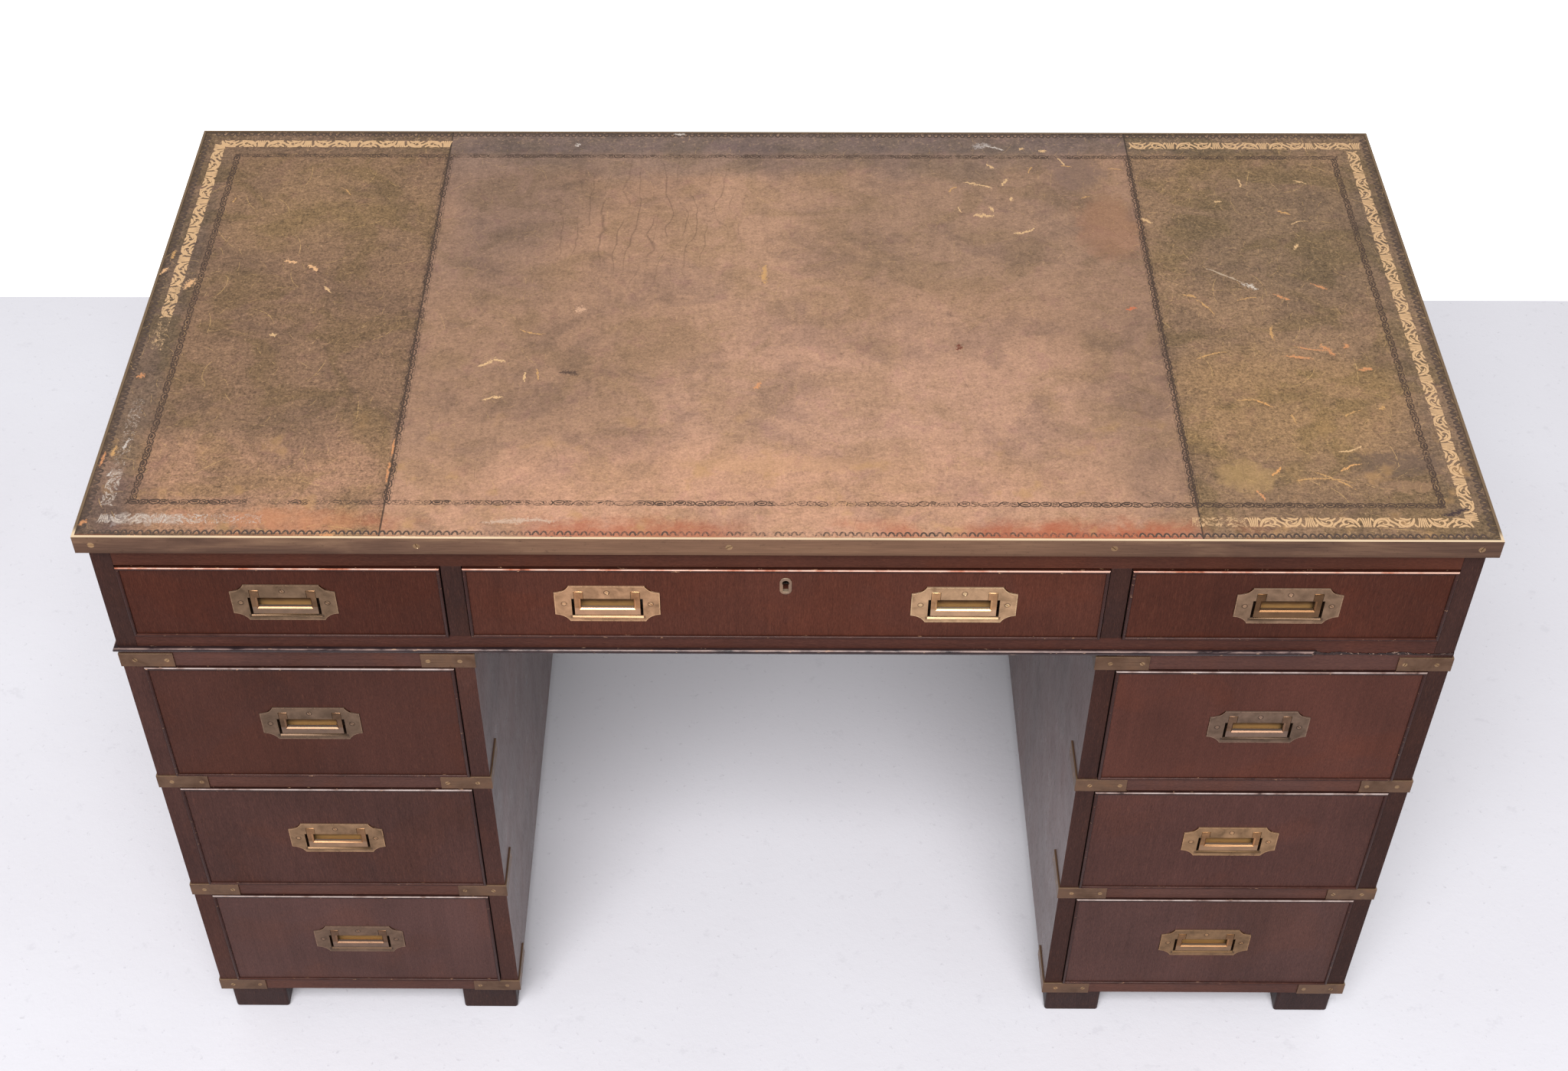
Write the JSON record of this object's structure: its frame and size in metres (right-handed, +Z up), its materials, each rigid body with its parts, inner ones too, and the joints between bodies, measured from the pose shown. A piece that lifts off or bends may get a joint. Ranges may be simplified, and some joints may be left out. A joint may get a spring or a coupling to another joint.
{
  "type": "campaign desk",
  "caption": "Twin-pedestal campaign desk with a tooled leather top, frieze and pedestal drawers with flush bail pulls, corner straps and block feet.",
  "frame": {"origin": "on the floor, under the middle of the desk", "axes": "+X to the sitter's right along the front, +Y from the front to the back, +Z up"},
  "size_m": [1.22, 0.608, 0.738],
  "materials": {
    "mahogany": "old wax polish, reddish brown",
    "inner_wood": "bare, unpolished",
    "tooled_leather": "mottled tan and olive brown, tooled border, worn and scuffed",
    "band_brass": "tarnished bronze brown",
    "strap_brass": "tarnished brown",
    "screw_brass": "dull",
    "pull_brass": "worn satin, greyish",
    "lock_steel": "dull"
  },
  "bodies": {
    "desk": {"writing_top": "inner_wood", "left_leather_panel": "tooled_leather", "centre_leather_panel": "tooled_leather", "right_leather_panel": "tooled_leather", "brass_edge_band": "band_brass", "brass_screws": "screw_brass", "frieze_sides": "mahogany", "frieze_partitions": "mahogany", "frieze_top_rail": "mahogany", "frieze_bottom_board": "mahogany", "frieze_bead_moulding": "mahogany", "carcass_backs": "mahogany", "left_pedestal_sides": "mahogany", "right_pedestal_sides": "mahogany", "left_pedestal_boards": "mahogany", "right_pedestal_boards": "mahogany", "drawer_runners": "inner_wood", "corner_straps": "strap_brass", "block_feet": "mahogany"},
    "left_frieze_drawer": {"left_frieze_drawer_front": "mahogany", "left_frieze_drawer_box": "inner_wood", "left_frieze_pull": "pull_brass"},
    "left_frieze_bail": {"left_frieze_bail": "pull_brass"},
    "centre_frieze_drawer": {"centre_frieze_drawer_front": "mahogany", "centre_frieze_drawer_box": "inner_wood", "centre_drawer_lock_case": "lock_steel", "keyhole_escutcheon": "pull_brass", "centre_frieze_left_pull": "pull_brass", "centre_frieze_right_pull": "pull_brass"},
    "centre_frieze_left_bail": {"centre_frieze_left_bail": "pull_brass"},
    "centre_frieze_right_bail": {"centre_frieze_right_bail": "pull_brass"},
    "right_frieze_drawer": {"right_frieze_drawer_front": "mahogany", "right_frieze_drawer_box": "inner_wood", "right_frieze_pull": "pull_brass"},
    "right_frieze_bail": {"right_frieze_bail": "pull_brass"},
    "left_top_drawer": {"left_top_drawer_front": "mahogany", "left_top_drawer_box": "inner_wood", "left_top_pull": "pull_brass"},
    "left_top_bail": {"left_top_bail": "pull_brass"},
    "right_top_drawer": {"right_top_drawer_front": "mahogany", "right_top_drawer_box": "inner_wood", "right_top_pull": "pull_brass"},
    "right_top_bail": {"right_top_bail": "pull_brass"},
    "left_middle_drawer": {"left_middle_drawer_front": "mahogany", "left_middle_drawer_box": "inner_wood", "left_middle_pull": "pull_brass"},
    "left_middle_bail": {"left_middle_bail": "pull_brass"},
    "right_middle_drawer": {"right_middle_drawer_front": "mahogany", "right_middle_drawer_box": "inner_wood", "right_middle_pull": "pull_brass"},
    "right_middle_bail": {"right_middle_bail": "pull_brass"},
    "left_bottom_drawer": {"left_bottom_drawer_front": "mahogany", "left_bottom_drawer_box": "inner_wood", "left_bottom_pull": "pull_brass"},
    "left_bottom_bail": {"left_bottom_bail": "pull_brass"},
    "right_bottom_drawer": {"right_bottom_drawer_front": "mahogany", "right_bottom_drawer_box": "inner_wood", "right_bottom_pull": "pull_brass"},
    "right_bottom_bail": {"right_bottom_bail": "pull_brass"},
    "lock_bolt": {"centre_drawer_lock_bolt": "lock_steel"}
  },
  "joints": [
    {"name": "left_frieze_drawer_slide", "type": "slide", "parent": "desk", "child": "left_frieze_drawer", "axis": [0, -1, 0], "range_m": [0, 0.4]},
    {"name": "left_frieze_bail_hinge", "type": "hinge", "parent": "left_frieze_drawer", "child": "left_frieze_bail", "pos_m": [-0.442, -0.296, 0.6649], "axis": [-1, 0, 0], "range_deg": [0, 90]},
    {"name": "centre_frieze_drawer_slide", "type": "slide", "parent": "desk", "child": "centre_frieze_drawer", "axis": [0, -1, 0], "range_m": [0, 0.4]},
    {"name": "centre_frieze_left_bail_hinge", "type": "hinge", "parent": "centre_frieze_drawer", "child": "centre_frieze_left_bail", "pos_m": [-0.157, -0.296, 0.6649], "axis": [-1, 0, 0], "range_deg": [0, 90]},
    {"name": "centre_frieze_right_bail_hinge", "type": "hinge", "parent": "centre_frieze_drawer", "child": "centre_frieze_right_bail", "pos_m": [0.157, -0.296, 0.6649], "axis": [-1, 0, 0], "range_deg": [0, 90]},
    {"name": "right_frieze_drawer_slide", "type": "slide", "parent": "desk", "child": "right_frieze_drawer", "axis": [0, -1, 0], "range_m": [0, 0.4]},
    {"name": "right_frieze_bail_hinge", "type": "hinge", "parent": "right_frieze_drawer", "child": "right_frieze_bail", "pos_m": [0.442, -0.296, 0.6649], "axis": [-1, 0, 0], "range_deg": [0, 90]},
    {"name": "left_top_drawer_slide", "type": "slide", "parent": "desk", "child": "left_top_drawer", "axis": [0, -1, 0], "range_m": [0, 0.4]},
    {"name": "left_top_bail_hinge", "type": "hinge", "parent": "left_top_drawer", "child": "left_top_bail", "pos_m": [-0.442, -0.296, 0.50088], "axis": [-1, 0, 0], "range_deg": [0, 90]},
    {"name": "right_top_drawer_slide", "type": "slide", "parent": "desk", "child": "right_top_drawer", "axis": [0, -1, 0], "range_m": [0, 0.4]},
    {"name": "right_top_bail_hinge", "type": "hinge", "parent": "right_top_drawer", "child": "right_top_bail", "pos_m": [0.442, -0.296, 0.50088], "axis": [-1, 0, 0], "range_deg": [0, 90]},
    {"name": "left_middle_drawer_slide", "type": "slide", "parent": "desk", "child": "left_middle_drawer", "axis": [0, -1, 0], "range_m": [0, 0.4]},
    {"name": "left_middle_bail_hinge", "type": "hinge", "parent": "left_middle_drawer", "child": "left_middle_bail", "pos_m": [-0.442, -0.296, 0.3263], "axis": [-1, 0, 0], "range_deg": [0, 90]},
    {"name": "right_middle_drawer_slide", "type": "slide", "parent": "desk", "child": "right_middle_drawer", "axis": [0, -1, 0], "range_m": [0, 0.4]},
    {"name": "right_middle_bail_hinge", "type": "hinge", "parent": "right_middle_drawer", "child": "right_middle_bail", "pos_m": [0.442, -0.296, 0.3263], "axis": [-1, 0, 0], "range_deg": [0, 90]},
    {"name": "left_bottom_drawer_slide", "type": "slide", "parent": "desk", "child": "left_bottom_drawer", "axis": [0, -1, 0], "range_m": [0, 0.4]},
    {"name": "left_bottom_bail_hinge", "type": "hinge", "parent": "left_bottom_drawer", "child": "left_bottom_bail", "pos_m": [-0.442, -0.296, 0.15382], "axis": [-1, 0, 0], "range_deg": [0, 90]},
    {"name": "right_bottom_drawer_slide", "type": "slide", "parent": "desk", "child": "right_bottom_drawer", "axis": [0, -1, 0], "range_m": [0, 0.4]},
    {"name": "right_bottom_bail_hinge", "type": "hinge", "parent": "right_bottom_drawer", "child": "right_bottom_bail", "pos_m": [0.442, -0.296, 0.15382], "axis": [-1, 0, 0], "range_deg": [0, 90]},
    {"name": "lock_bolt_slide", "type": "slide", "parent": "centre_frieze_drawer", "child": "lock_bolt", "axis": [0, 0, 1], "range_m": [0, 0.006]}
  ]
}
